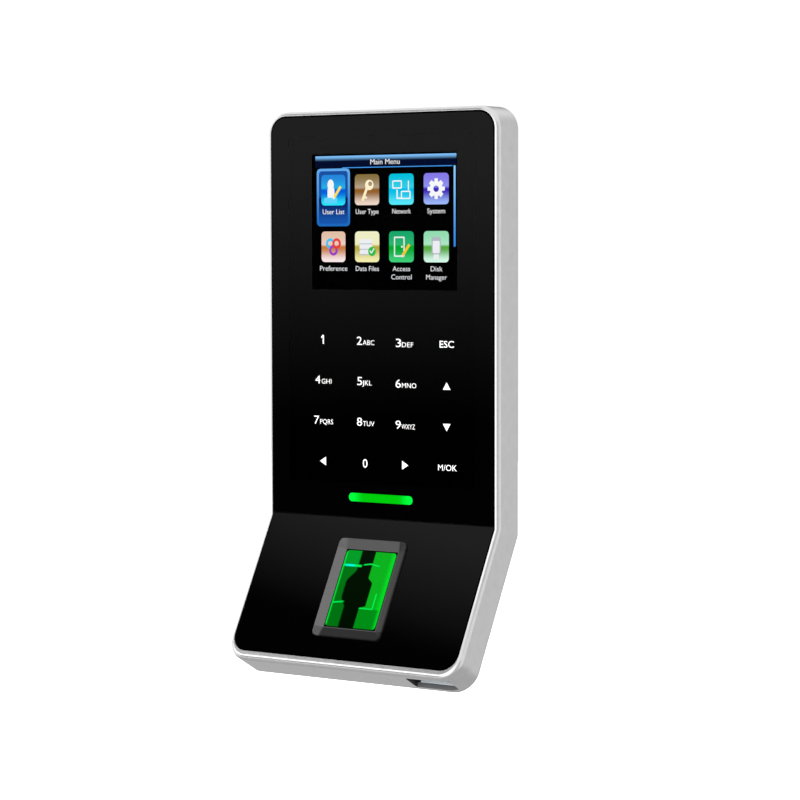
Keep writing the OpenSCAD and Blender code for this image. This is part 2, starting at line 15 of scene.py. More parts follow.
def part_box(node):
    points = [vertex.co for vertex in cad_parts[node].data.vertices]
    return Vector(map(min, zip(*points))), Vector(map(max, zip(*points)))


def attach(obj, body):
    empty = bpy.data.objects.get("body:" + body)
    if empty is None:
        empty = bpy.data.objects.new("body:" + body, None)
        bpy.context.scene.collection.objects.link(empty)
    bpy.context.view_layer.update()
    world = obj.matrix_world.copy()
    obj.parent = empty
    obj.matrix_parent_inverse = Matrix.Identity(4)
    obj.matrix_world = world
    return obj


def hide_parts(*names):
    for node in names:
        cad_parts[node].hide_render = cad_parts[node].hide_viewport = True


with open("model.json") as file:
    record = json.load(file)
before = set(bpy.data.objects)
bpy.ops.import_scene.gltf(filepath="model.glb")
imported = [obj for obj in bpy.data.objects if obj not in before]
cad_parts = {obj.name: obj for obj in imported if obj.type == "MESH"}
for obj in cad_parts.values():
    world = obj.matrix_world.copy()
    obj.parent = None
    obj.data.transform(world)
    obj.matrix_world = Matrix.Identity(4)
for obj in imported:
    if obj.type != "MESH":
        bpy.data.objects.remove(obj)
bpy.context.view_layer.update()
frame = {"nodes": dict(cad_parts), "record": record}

MM = 0.001
TILT = math.radians(29)  # the lower face against the upright one
BEND = math.tan(TILT / 2)
DOWN = Vector((0, -math.sin(TILT), -math.cos(TILT)))

glass_low, glass_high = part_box("touch_glass")
shell_low, shell_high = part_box("front_frame")
FRONT_Y = glass_low.y
BEND_Z = glass_low.z - 0.12 * MM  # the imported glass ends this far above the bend
HALF_W = shell_high.x / MM
UPPER_H = (shell_high.z - BEND_Z) / MM
FRAME_D = (shell_high.y - FRONT_Y) / MM
LOWER_L = ((BEND_Z - shell_low.z) / MM - FRAME_D * math.sin(TILT)) / math.cos(TILT)
PANEL_W = glass_high.x / MM + 0.12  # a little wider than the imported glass, for a finer rim
PANEL_TOP = (glass_high.z - BEND_Z) / MM - 0.2
PANEL_L = LOWER_L - 2.5
GLASS_T = (glass_high.y - glass_low.y) / MM

BAND_TRIM = 0.3          # the band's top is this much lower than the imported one
BAND_CORNER = 6.5
PANEL_CORNER = 5.0       # of the glass and the lower panel
PANEL_EASE = 0.36        # of their front edges
PANEL_GAP = 0.08         # between them and the band
PANEL_RISE = 0.75        # how far the lower panel is carried up behind the glass's bottom edge
GLASS_BOTTOM = 0.85
PORT_X = (21.6, 35.2)    # the port's opening in the bottom end
PORT_DEPTH = (2.0, 8.3)
LOWER_END = -20          # a point under this height is at the lower part's end
CLOSE = 0.01
PANE_HALF_W = 31.5       # the pocket for the clear pane in the glass
PANE_Z = (10.5, 107.5)
PANE_FIT = 0.003
PANE_T = 1.66
COVER_X = (-23.3, 25.6)  # the quieter part of the pane, over the display
COVER_Z = (64.64, 102.5)
WINDOW_HALF_W = 8.68     # the sensor's window
WINDOW_Z = (-32.18, -8.72)
WINDOW_CORNER = 1.3
DOT_WAVE = 20.5          # of the display's dot grid, in radians per millimetre
BLACK = (0.0, 0.0, 0.0)
WHITE = (1.0, 1.0, 1.0)

UPRIGHT = Matrix.Translation((0, FRONT_Y, BEND_Z)) @ Matrix.Scale(MM, 4)
SLOPE = (Matrix.Translation((0, FRONT_Y, BEND_Z)) @ Matrix.Rotation(-TILT, 4, "X")
         @ Matrix.Scale(MM, 4))


# ---- finishes ----


def grey(value):
    return (value, value, value)


class Field:
    """A value in a node tree that ordinary sums can be written with."""

    def __init__(self, tree, socket):
        self.tree = tree
        self.socket = socket

    def math(self, kind, *others, clamp=False):
        node = self.tree.nodes.new("ShaderNodeMath")
        node.operation = kind
        node.use_clamp = clamp
        for place, value in enumerate((self, *others)):
            if isinstance(value, Field):
                self.tree.links.new(value.socket, node.inputs[place])
            else:
                node.inputs[place].default_value = value
        return Field(self.tree, node.outputs[0])

    def __add__(self, other):
        return self.math("ADD", other)

    def __sub__(self, other):
        return self.math("SUBTRACT", other)

    def __mul__(self, other):
        return self.math("MULTIPLY", other)

    def __truediv__(self, other):
        return self.math("DIVIDE", other)

    def __neg__(self):
        return self.math("MULTIPLY", -1.0)

    def size(self):
        return self.math("ABSOLUTE")

    def most(self, other):
        return self.math("MAXIMUM", other)

    def least(self, other):
        return self.math("MINIMUM", other)

    def root(self):
        return self.math("SQRT")

    def rise(self, start, end):
        """Goes smoothly from 0 at start to 1 at end."""
        node = self.tree.nodes.new("ShaderNodeMapRange")
        node.interpolation_type = "SMOOTHSTEP"
        self.tree.links.new(self.socket, node.inputs["Value"])
        node.inputs["From Min"].default_value = min(start, end)
        node.inputs["From Max"].default_value = max(start, end)
        node.inputs["To Min"].default_value = 0.0 if start < end else 1.0
        node.inputs["To Max"].default_value = 1.0 if start < end else 0.0
        return Field(self.tree, node.outputs[0])


def colour_mix(tree, share, first, second):
    """A colour that goes from first to second as share goes from 0 to 1."""
    node = tree.nodes.new("ShaderNodeMix")
    node.data_type = "RGBA"
    tree.links.new(share.socket, node.inputs["Factor"])
    for name, value in (("A", first), ("B", second)):
        socket = [s for s in node.inputs if s.name == name and s.type == "RGBA"][0]
        if hasattr(value, "is_linked"):
            tree.links.new(value, socket)
        else:
            socket.default_value = (*value, 1.0)
    return [s for s in node.outputs if s.type == "RGBA"][0]


def place_fields(tree, tilted=False):
    """X, depth and height fields in millimetres, on the upright part or on the tilted one."""
    coordinates = tree.nodes.new("ShaderNodeTexCoord").outputs["Object"]
    move = tree.nodes.new("ShaderNodeMapping")
    move.vector_type = "POINT"
    tree.links.new(coordinates, move.inputs["Vector"])
    move.inputs["Location"].default_value = (0, -FRONT_Y, -BEND_Z)
    turn = tree.nodes.new("ShaderNodeMapping")
    tree.links.new(move.outputs[0], turn.inputs["Vector"])
    turn.inputs["Rotation"].default_value = (TILT if tilted else 0, 0, 0)
    turn.inputs["Scale"].default_value = (1 / MM,) * 3
    parts = tree.nodes.new("ShaderNodeSeparateXYZ")
    tree.links.new(turn.outputs[0], parts.inputs[0])
    return [Field(tree, socket) for socket in parts.outputs]


def noise_field(tree, scale, detail=3.0, stretch=(1, 1, 1), kind="noise"):
    """A noise or cell pattern on object coordinates. Its grains are about 1/scale metres across."""
    coordinates = tree.nodes.new("ShaderNodeTexCoord").outputs["Object"]
    move = tree.nodes.new("ShaderNodeMapping")
    move.inputs["Scale"].default_value = stretch
    tree.links.new(coordinates, move.inputs["Vector"])
    node = tree.nodes.new("ShaderNodeTexVoronoi" if kind == "cells" else "ShaderNodeTexNoise")
    node.inputs["Scale"].default_value = scale
    if kind != "cells":
        node.inputs["Detail"].default_value = detail
    tree.links.new(move.outputs[0], node.inputs["Vector"])
    return Field(tree, node.outputs["Distance" if kind == "cells" else 0])


def link(field, shader, name):
    """Sends a field or a colour to one of the shader's inputs."""
    shader.id_data.links.new(getattr(field, "socket", field), shader.inputs[name])


def colour(shader, share, first, second):
    """Colours the surface from first to second as share goes from 0 to 1."""
    link(colour_mix(shader.id_data, share, first, second), shader, "Base Color")


def add_bump(shader, height, strength, depth):
    """Roughens the surface by a height field. depth is in metres."""
    tree = shader.id_data
    bump = tree.nodes.new("ShaderNodeBump")
    bump.inputs["Strength"].default_value = strength
    bump.inputs["Distance"].default_value = depth
    tree.links.new(height.socket, bump.inputs["Height"])
    tree.links.new(bump.outputs[0], shader.inputs["Normal"])


def new_finish(name, **sockets):
    """A finish with one main shader, and its even values set on the shader itself."""
    finish = bpy.data.materials.new(name)
    finish.use_nodes = True
    tree = finish.node_tree
    shader = tree.nodes["Principled BSDF"]
    for socket, value in sockets.items():
        target = shader.inputs[socket.replace("_", " ")]
        target.default_value = (*value, 1.0) if isinstance(value, tuple) else value
    return finish, tree, shader


def grained(name, first, second, grain, rough=(0.35, 0.5), bump=(0.2, 0.00002),
            stretch=(1, 1, 1), kind="noise", **sockets):
    """A finish that varies with a fine grain and with broad handling marks."""
    finish, tree, shader = new_finish(name, **sockets)
    fine = noise_field(tree, grain, 4.0, stretch, kind)
    broad = noise_field(tree, 70.0, 2.0)
    colour(shader, (fine * 0.7 + broad * 0.5 - 0.1).math("MAXIMUM", 0.0, clamp=True), first, second)
    spread = broad.rise(0.3, 0.7) * (rough[1] - rough[0]) + rough[0]
    link(spread + (fine - 0.5) * 0.06, shader, "Roughness")
    add_bump(shader, fine, *bump)
    return finish


def lip_painted_shade():
    """The lip between the lower panel and the silver rim: a darker satin grey that is painted shade
    on the silver.
    """
    return grained("lip_satin_painted_shade", (0.09, 0.09, 0.095), (0.15, 0.15, 0.155), 3000.0, (0.4, 0.5),
                   (0.15, 0.00001), Specular_IOR_Level=0.12)


def silver_paint():
    """Silver lacquer: fine flakes under a clear coat, slightly cloudy, with small marks."""
    finish, tree, shader = new_finish("silver_lacquer", Metallic=0.9)
    flakes = noise_field(tree, 5200.0, 2.0)
    clouds = noise_field(tree, 420.0, 3.0)
    share = (flakes * 0.7 + clouds * 0.5 - 0.1).math("MAXIMUM", 0.0, clamp=True)
    tone = colour_mix(tree, share, (0.44, 0.44, 0.445), (0.58, 0.58, 0.58))
    link(tone, shader, "Base Color")
    link(clouds * 0.06 + flakes * 0.04 + 0.2, shader, "Roughness")
    add_bump(shader, flakes, 0.25, 0.000012)
    return finish


def black_gloss(name, rough=0.03):
    """Black under clear glass, with a fine film of dust and wipe marks in its gloss."""
    finish, tree, shader = new_finish(name, IOR=1.5)
    wipe = noise_field(tree, 60.0, 4.0, (1, 1, 0.35))
    dust = noise_field(tree, 2600.0, 2.0)
    colour(shader, dust, grey(0.0002), grey(0.0006))
    link(wipe * 0.03 + rough, shader, "Roughness")
    add_bump(shader, wipe, 0.03, 0.00001)
    return finish


def black_print():
    """The matt black ink on the back of the glass."""
    finish, tree, shader = new_finish("back_print", Specular_IOR_Level=0.0)
    grain = noise_field(tree, 1500.0, 3.0)
    colour(shader, grain, grey(0.0001), grey(0.0003))
    link(grain * 0.2 + 0.6, shader, "Roughness")
    add_bump(shader, grain, 0.1, 0.00001)
    return finish


def clear_pane(name, gloss):
    """Clear glass that mirrors by its angle. gloss scales how much it mirrors."""
    finish, tree, shader = new_finish(name)
    tree.nodes.remove(shader)
    clear = tree.nodes.new("ShaderNodeBsdfTransparent")
    mirror = tree.nodes.new("ShaderNodeBsdfGlossy")
    wipe = noise_field(tree, 60.0, 4.0, (1, 1, 0.35))
    tree.links.new((wipe * 0.03 + 0.03).socket, mirror.inputs["Roughness"])
    mirror.inputs["Color"].default_value = (*WHITE, 1)
    edge = tree.nodes.new("ShaderNodeFresnel")
    edge.inputs["IOR"].default_value = 1.5
    share = Field(tree, edge.outputs[0]) * gloss
    mix = tree.nodes.new("ShaderNodeMixShader")
    tree.links.new(share.socket, mix.inputs[0])
    tree.links.new(clear.outputs[0], mix.inputs[1])
    tree.links.new(mirror.outputs[0], mix.inputs[2])
    tree.links.new(mix.outputs[0], tree.nodes["Material Output"].inputs["Surface"])
    return finish


def lit_finish(name, low, high, bottom, top, strength=1.0, belly=None):
    """A lit part of the display over a fine dot grid.

    It goes from the low colour to the high one up its height, through the belly colour if given.
    """
    finish, tree, shader = new_finish(name, Base_Color=BLACK, Specular_IOR_Level=0.0, Roughness=0.5)
    x, _, height = place_fields(tree)
    share = height.rise(bottom, top)
    shown = colour_mix(tree, share, low, high)
    if belly:
        line = bottom * 0.52 + top * 0.48  # where the belly ends in a sharp glare line
        band = height.rise(bottom + 0.1, line) * height.rise(line + 1.0, line + 0.1)
        shown = colour_mix(tree, band, shown, belly)
    link(shown, shader, "Emission Color")
    dots = (x * DOT_WAVE).math("SINE") * (height * DOT_WAVE).math("SINE")
    link(dots * 0.06 + strength, shader, "Emission Strength")
    return finish


def light_bar_finish():
    """The lit status bar: bright green with brighter ends."""
    finish, tree, shader = new_finish("status_glow", Roughness=0.4, Base_Color=BLACK,
                                      Specular_IOR_Level=0.0)
    x, _, height = place_fields(tree)
    ends = x.size().rise(5.5, 10.5)
    link(colour_mix(tree, ends, (0.0, 0.62, 0.004), (0.001, 1.1, 0.055)), shader, "Emission Color")
    grain = noise_field(tree, 900.0, 2.0)
    link(grain * 0.12 + 0.94, shader, "Emission Strength")
    return finish


def sensor_glow():
    """The lit prism seen through its window: green, with dark optics behind it. Its lighter and
    darker parts are painted light and shade, and its glint is a painted highlight.

    across and down go from 0 to 1 over the window, from its top left corner.
    """
    finish, tree, shader = new_finish("sensor_glow", IOR=1.5, Base_Color=BLACK,
                                      Specular_IOR_Level=0.08)
    x, _, up = place_fields(tree, tilted=True)
    across = (x + 8.7) / 17.4
    down = -(up + 8.7) / 23.5
    left = down.rise(0.24, 0.42) * -0.14 + down.rise(0.6, 0.74) * 0.1 + 0.3
    right = down.rise(0.34, 0.42) * 0.1 + down.rise(0.7, 0.735) * -0.11 + 0.59
    from_left = across - left
    body = from_left.rise(-0.01, 0.03) * (right - across).rise(0.0, 0.02)
    # painted light and shade: a darker lower part and a lighter right side
    painted_shades = colour_mix(tree, down.rise(0.2, 0.22), (0.0, 0.34, 0.02), (0.0, 0.17, 0.006))
    painted_lit_side = colour_mix(tree, across.rise(0.86, 0.97), (0.003, 0.44, 0.012), (0.0, 0.72, 0.02))
    block_side = colour_mix(tree, across.rise(0.9, 0.98), (0.0, 0.27, 0.008), (0.0, 0.7, 0.02))
    painted_lit_side = colour_mix(tree, down.rise(0.735, 0.745), painted_lit_side, block_side)
    green = colour_mix(tree, across.rise(0.44, 0.48), painted_shades, painted_lit_side)
    green = colour_mix(tree, across.rise(0.06, 0.02), green, (0.0, 0.9, 0.05))
    shown = colour_mix(tree, body, green, (0.0, 0.005, 0.0))

    def line(field, spot, half):
        return (field - spot).size().rise(half, half * 0.4)

    # painted highlight: a glint line across the prism
    painted_glint = line(down, 0.205, 0.02) * across.rise(0.4, 0.36)
    thin = line(down - (across - 0.55).size() * 0.12, 0.172, 0.012)
    thin = thin * across.rise(0.4, 0.44) * across.rise(0.74, 0.7)
    low = line(down + across * 0.1, 0.69, 0.014) * across.rise(0.26, 0.2)
    ledge = line(down, 0.735, 0.011) * across.rise(0.56, 0.58) * across.rise(0.84, 0.82)
    post = line(across, 0.82, 0.02) * down.rise(0.52, 0.56) * down.rise(0.735, 0.725)
    strips = thin.most(low).most(ledge).most(post)
    shown = colour_mix(tree, strips, shown, (0.0, 0.85, 0.08))
    painted_glint_colour = colour_mix(tree, line(across, 0.16, 0.12), (0.0, 0.9, 0.08), (0.0, 1.0, 0.75))
    shown = colour_mix(tree, painted_glint, shown, painted_glint_colour)
    low, high = WINDOW_Z
    side_gap = (x.size() - (WINDOW_HALF_W - WINDOW_CORNER)).most(0.0)
    end_gap = ((up - (low + high) / 2).size() - ((high - low) / 2 - WINDOW_CORNER)).most(0.0)
    border = (side_gap * side_gap + end_gap * end_gap).root() - WINDOW_CORNER
    shown = colour_mix(tree, border.rise(-0.42, -0.2), shown, BLACK)
    link(shown, shader, "Emission Color")
    grain = noise_field(tree, 1400.0, 2.0)
    link(grain * 0.2 + 0.9, shader, "Emission Strength")
    link(grain * 0.04 + 0.04, shader, "Roughness")
    add_bump(shader, grain, 0.02, 0.00001)
    return finish


def bezel_satin_painted_shade():
    """The satin grey of the sensor's ring, with painted shade on the walls at its top, bottom and
    right, fading towards the left wall.
    """
    finish, tree, shader = new_finish("bezel_satin_painted_shade")
    x, _, up = place_fields(tree, tilted=True)
    fine = noise_field(tree, 2600.0, 4.0)
    # painted shade: the top, bottom and right walls are darkened and lose shine, less so towards
    # the left wall
    shade_fade_left = -x.rise(-8.2, -9.4) * 0.6 + 1.0  # the shade fades on the left wall
    painted_shade_foot_and_right = up.rise(-32.1, -32.6).most(x.rise(8.6, 9.1) * 0.85) * shade_fade_left
    painted_shade_head = up.rise(-9.0, -8.4) * shade_fade_left
    tone = colour_mix(tree, fine, (0.045, 0.045, 0.046), (0.085, 0.084, 0.083))
    tone = colour_mix(tree, painted_shade_head * 0.42, tone, BLACK)
    tone = colour_mix(tree, painted_shade_foot_and_right * 0.85, tone, BLACK)
    link(tone, shader, "Base Color")
    link((painted_shade_head * 0.5).most(painted_shade_foot_and_right) * -0.42 + 0.5, shader, "Specular IOR Level")
    link(fine * 0.12 + 0.34, shader, "Roughness")
    add_bump(shader, fine, 0.25, 0.00002)
    return finish


def circuit_board():
    """Green solder mask with paler copper tracks under it."""
    finish, tree, shader = new_finish("solder_mask", Coat_Weight=0.3, Coat_Roughness=0.2)
    tracks = noise_field(tree, 520.0, 1.0, kind="cells")
    fine = noise_field(tree, 3000.0, 3.0)
    share = tracks.rise(0.38, 0.46) * 0.6 + fine * 0.2
    colour(shader, share, (0.004, 0.07, 0.022), (0.02, 0.17, 0.06))
    link(fine * 0.2 + 0.35, shader, "Roughness")
    add_bump(shader, tracks, 0.2, 0.00003)
    return finish


def zinc_plate():
    """Galvanised sheet steel with its pale and dark crystals."""
    finish, tree, shader = new_finish("zinc_spangle", Metallic=0.95)
    crystals = noise_field(tree, 260.0, kind="cells")
    fine = noise_field(tree, 2400.0, 4.0)
    share = (crystals * 0.9 + fine * 0.4 - 0.2).math("MAXIMUM", 0.0, clamp=True)
    colour(shader, share, (0.34, 0.35, 0.37), (0.62, 0.63, 0.65))
    link(crystals * 0.25 + fine * 0.1 + 0.28, shader, "Roughness")
    add_bump(shader, fine, 0.25, 0.00002)
    return finish


def port_shell_finish():
    """The port's shell, painted near black as shade inside the opening, but for its bright rear
    spring wall.
    """
    finish, tree, shader = new_finish("port_nickel", Metallic=0.3)
    x, depth, up = place_fields(tree, tilted=True)
    # painted shade: the shell is near black everywhere but on its rear spring wall
    wall = depth.rise(7.0, 7.3) * x.rise(22.9, 23.1) * up.rise(0.4 - LOWER_L, 0.6 - LOWER_L)
    grain = noise_field(tree, 1800.0, 3.0)
    colour(shader, wall, (0.004, 0.004, 0.005), (0.8, 0.88, 0.95))
    link(grain * 0.2 + 0.4, shader, "Roughness")
    add_bump(shader, grain, 0.1, 0.00001)
    return finish


def metal(name, first, second, grain=1800.0, rough=(0.22, 0.4), stretch=(1, 1, 6)):
    """Bare or plated metal with a drawn grain."""
    return grained(name, first, second, grain, rough, (0.15, 0.00001), stretch, Metallic=1.0)


FINISHES = {
    "zinc_steel": zinc_plate(),
    "silver_paint": silver_paint(),
    "black_plastic": grained("moulded_black", grey(0.012), grey(0.03), 2300.0, (0.42, 0.6),
                             (0.45, 0.00003)),
    "front_glass": black_gloss("glass_black"),
    "foam_tape": grained("foam_cells", grey(0.03), grey(0.09), 1900.0, (0.8, 0.95), (0.5, 0.00005),
                         kind="cells"),
    "gloss_panel": black_gloss("panel_gloss", 0.02),
    "seal_rubber": grained("seal_rubber", grey(0.012), grey(0.03), 1500.0, (0.7, 0.85),
                           (0.3, 0.00003)),
    "screw_steel": metal("screw_steel", (0.42, 0.42, 0.43), grey(0.66)),
    "display_glass": black_print(),
    "white_plastic": grained("white_moulded", grey(0.62), grey(0.78), 1700.0, (0.35, 0.5),
                             (0.15, 0.00002)),
    "tin_plate": metal("tin_plate", (0.55, 0.56, 0.58), (0.78, 0.79, 0.8), 1200.0, (0.15, 0.32)),
    "amber_film": grained("amber_film", (0.45, 0.2, 0.03), (0.65, 0.33, 0.07), 800.0, (0.2, 0.35),
                          (0.1, 0.00001)),
    "circuit_board": circuit_board(),
    "white_light": grained("white_light", (0.8, 0.8, 0.7), (0.95, 0.95, 0.85), 2500.0, (0.3, 0.4)),
    "green_light": light_bar_finish(),
    "bezel_grey": bezel_satin_painted_shade(),
    "sensor_glass": sensor_glow(),
    "lens_glass": black_gloss("lens_glass", 0.02),
    "chip_black": grained("chip_resin", grey(0.012), grey(0.035), 2600.0, (0.5, 0.65),
                          (0.3, 0.00002)),
    "ivory_nylon": grained("ivory_nylon", (0.62, 0.58, 0.46), (0.76, 0.72, 0.6), 1500.0,
                           (0.4, 0.55)),
    "relay_blue": grained("relay_case", (0.03, 0.1, 0.3), (0.06, 0.17, 0.42), 1900.0, (0.3, 0.45)),
    "can_aluminium": metal("can_aluminium", (0.5, 0.51, 0.53), (0.72, 0.72, 0.74), 900.0,
                           (0.25, 0.4)),
    "gold_plating": metal("gold_plating", (0.75, 0.5, 0.15), (0.95, 0.7, 0.28), 1500.0,
                          (0.15, 0.3)),
    "spring_steel": metal("spring_steel", (0.4, 0.4, 0.42), (0.62, 0.62, 0.64), 2200.0,
                          (0.2, 0.35)),
    "red_plastic": grained("red_moulded", (0.42, 0.012, 0.01), (0.6, 0.03, 0.02), 1800.0,
                           (0.35, 0.5)),
}


def cover_frame():
    """Gives every carried-over node the finish of its slot."""
    slots = {entry["node"]: entry["material_slot"] for entry in frame["record"]["subparts"]}
    shell = port_shell_finish()
    for node, piece in frame["nodes"].items():
        piece.data.materials.clear()
        piece.data.materials.append(shell if node == "port_shell" else FINISHES[slots[node]])


# ---- ways of shaping a piece ----


def release():
    """Leaves edit mode and selects nothing."""
    if bpy.context.object and bpy.context.object.mode != "OBJECT":
        bpy.ops.object.mode_set(mode="OBJECT")
    bpy.ops.object.select_all(action="DESELECT")


def only(piece):
    """Makes the piece the one that is selected and worked on."""
    release()
    piece.select_set(True)
    bpy.context.view_layer.objects.active = piece


def reopen(piece):
    """Opens a finished shape for more shaping."""
    only(piece)
    bpy.ops.object.mode_set(mode="EDIT")


def settle(piece, matrix):
    """Carries the piece's shape over by a matrix and leaves it unturned at the origin."""
    only(piece)
    piece.matrix_world = matrix
    bpy.ops.object.transform_apply(location=True, rotation=True, scale=True)


def begin(name, kind="cube", **values):
    """Adds a primitive at its size and place and opens it for shaping."""
    release()
    getattr(bpy.ops.mesh, f"primitive_{kind}_add")(**values)
    piece = bpy.context.object
    bpy.ops.object.transform_apply(location=True, rotation=True, scale=True)
    piece.name = piece.data.name = name
    bpy.ops.object.mode_set(mode="EDIT")
    return piece


def block(name, x0, x1, d0, d1, z0, z1):
    """A block between two X, two depths and two heights."""
    centre = ((x0 + x1) / 2, (d0 + d1) / 2, (z0 + z1) / 2)
    return begin(name, size=1, location=centre, scale=(x1 - x0, d1 - d0, z1 - z0))


def pick(piece, part, test):
    """Selects the faces, edges or points that pass the test and nothing else."""
    bpy.ops.mesh.select_mode(type=part)
    bpy.ops.mesh.select_all(action="DESELECT")
    mesh = bmesh.from_edit_mesh(piece.data)
    mesh.normal_update()
    group = {"VERT": mesh.verts, "EDGE": mesh.edges, "FACE": mesh.faces}[part]
    for item in group:
        if test(item):
            item.select_set(True)
    mesh.select_flush_mode()
    bmesh.update_edit_mesh(piece.data)


def assign(piece, index, test):
    """Gives the faces that pass the test the finish at that index."""
    pick(piece, "FACE", test)
    piece.active_material_index = index
    bpy.ops.object.material_slot_assign()


def two_finishes(piece, main, other, test):
    """Gives a piece one finish and the faces that pass the test another."""
    reopen(piece)
    piece.data.materials.append(main)
    piece.data.materials.append(other)
    assign(piece, 1, test)


def middle(item):
    return sum((v.co for v in item.verts), Vector()) / len(item.verts)


def bevel(offset, segments, part="EDGES"):
    bpy.ops.mesh.bevel(offset=offset, segments=segments, affect=part, clamp_overlap=True)


def along(edge, axis):
    """Whether the edge runs along an axis, 0 to 2 for X, depth and height."""
    return abs((edge.verts[0].co - edge.verts[1].co).normalized()[axis]) > 0.99


def round_corners(piece, radius, segments=8, test=lambda p: True):
    """Rounds the corner edges that run along the depth where their middle passes the test."""
    pick(piece, "EDGE", lambda e: along(e, 1) and test(middle(e)))
    bevel(radius, segments)


def front_edges(piece, offset, segments, test=lambda p: True):
    """Eases the edges between the front face and the sides."""
    def at_front(edge):
        if len(edge.link_faces) != 2 or not test(middle(edge)):
            return False
        first, second = (f.normal.y for f in edge.link_faces)
        return min(first, second) < -0.9 and max(first, second) > -0.5

    pick(piece, "EDGE", at_front)
    bevel(offset, segments)


def cut(piece, cutter):
    """Takes one piece's space out of another and removes the cutter."""
    only(piece)
    taking = piece.modifiers.new("opening", "BOOLEAN")
    taking.operation = "DIFFERENCE"
    taking.solver = "EXACT"
    taking.object = cutter
    bpy.ops.object.modifier_apply(modifier=taking.name)
    bpy.data.objects.remove(cutter)


def place(piece, matrix, body, slot, *finishes, replaced=(), smooth=35):
    """Puts a finished piece in its place, evens its shading, gives it its finishes, ties it to what
    it moves with and hides the imported parts it replaces.
    """
    settle(piece, matrix)
    bpy.ops.object.shade_smooth_by_angle(angle=math.radians(smooth))
    even = piece.modifiers.new("even_shading", "WEIGHTED_NORMAL")
    even.keep_sharp = True
    bpy.ops.object.modifier_apply(modifier=even.name)
    if finishes:
        piece.data.materials.clear()
        for finish in finishes:
            piece.data.materials.append(finish)
    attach(piece, body)
    if replaced:
        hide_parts(*replaced)
    return piece


# ---- housing ----


def bent_block(name, half_w, top, length, radius, d0, d1):
    """A slab between two depths that follows the bend, with round corners."""
    piece = block(name, -half_w, half_w, d0, d1, 0, top)
    for depth in (d0, d1):
        pick(piece, "VERT", lambda v: abs(v.co.y - depth) < CLOSE and abs(v.co.z) < CLOSE)
        bpy.ops.transform.translate(value=(0, 0, -depth * BEND))
    pick(piece, "FACE", lambda f: f.normal.z < -0.5)
    bpy.ops.mesh.extrude_region_move(TRANSFORM_OT_translate={"value": DOWN * (length + d0 * BEND)})
    half_way = DOWN.y * length + (d0 + d1) / 2
    pick(piece, "VERT", lambda v: v.co.z < LOWER_END and v.co.y > half_way)
    bpy.ops.transform.translate(value=DOWN * (d1 - d0) * BEND)

    def is_corner(edge):
        a, b = (v.co for v in edge.verts)
        ends = min(a.z, b.z) > top - CLOSE or max(a.z, b.z) < LOWER_END
        return ends and abs(a.x - b.x) < CLOSE

    pick(piece, "EDGE", is_corner)
    bevel(radius, 14)
    return piece


def ease_rims(piece, front, offset, segments):
    """Rounds the edges round the front face, or round the back face where front is False."""
    def at_rim(edge):
        levels = sorted(abs(f.normal.y) for f in edge.link_faces)
        facing = all((f.normal.y < 0) == front for f in edge.link_faces if abs(f.normal.y) > 0.8)
        return len(levels) == 2 and levels[0] < 0.6 and levels[1] > 0.8 and facing

    pick(piece, "EDGE", at_rim)
    bevel(offset, segments)


def silver_frame():
    """The bent silver band with its rounded front edge, its lip and the port's opening."""
    slack = 0.05
    lip = 0.8
    piece = bent_block("silver_frame", HALF_W, UPPER_H - BAND_TRIM, LOWER_L, BAND_CORNER, 0,
                       FRAME_D)
    ease_rims(piece, True, 1.45, 8)
    ease_rims(piece, False, 0.35, 3)
    cut(piece, bent_block("panel_cutter", PANEL_W + slack, PANEL_TOP + slack, PANEL_L + slack,
                          PANEL_CORNER + slack, -1, FRAME_D + 1))
    settle(piece, SLOPE.inverted() @ UPRIGHT)
    cutter = block("port_cutter", *PORT_X, *PORT_DEPTH, -LOWER_L - 2, -LOWER_L + 6)
    pick(cutter, "EDGE", lambda e: along(e, 2))
    bevel(0.5, 4)
    cut(piece, cutter)
    bpy.ops.object.mode_set(mode="EDIT")

    def in_port(vertex, shallow):
        x, depth = vertex.co.x, vertex.co.y
        inside = PORT_X[0] - 0.1 < x < PORT_X[1] + 0.1
        return inside and shallow < depth < PORT_DEPTH[1] + slack

    def is_side(face):
        return abs(face.normal.z) < 0.9 and all(
            in_port(v, PORT_DEPTH[0] - slack) for v in face.verts)

    def is_back(face):
        return face.normal.y < -0.9 and all(in_port(v, PORT_DEPTH[1] - 0.8) for v in face.verts)

    # The lip runs along the foot of the lower panel's opening and round its corners, in the
    # painted-shade grey
    def at_lip(edge):
        front = any(abs(f.normal.y) < 0.1 for f in edge.link_faces)
        return front and all(
            abs(p.y) < CLOSE and abs(p.x) < PANEL_W + 0.06 and -PANEL_L - 0.06 < p.z < 5.2 - PANEL_L
            for p in (v.co for v in edge.verts))

    piece.data.materials.clear()
    for finish in (FINISHES["silver_paint"], lip_painted_shade(), FINISHES["black_plastic"]):
        piece.data.materials.append(finish)
    assign(piece, 2, is_side)
    # painted shade: the silver faces at the back of the port take the lip's dark grey
    assign(piece, 1, is_back)
    pick(piece, "EDGE", at_lip)
    bpy.ops.mesh.bevel(offset=lip, segments=1, affect="EDGES", clamp_overlap=True, material=1)
    return place(piece, SLOPE, "terminal", "silver_paint", replaced=["front_frame"], smooth=30)


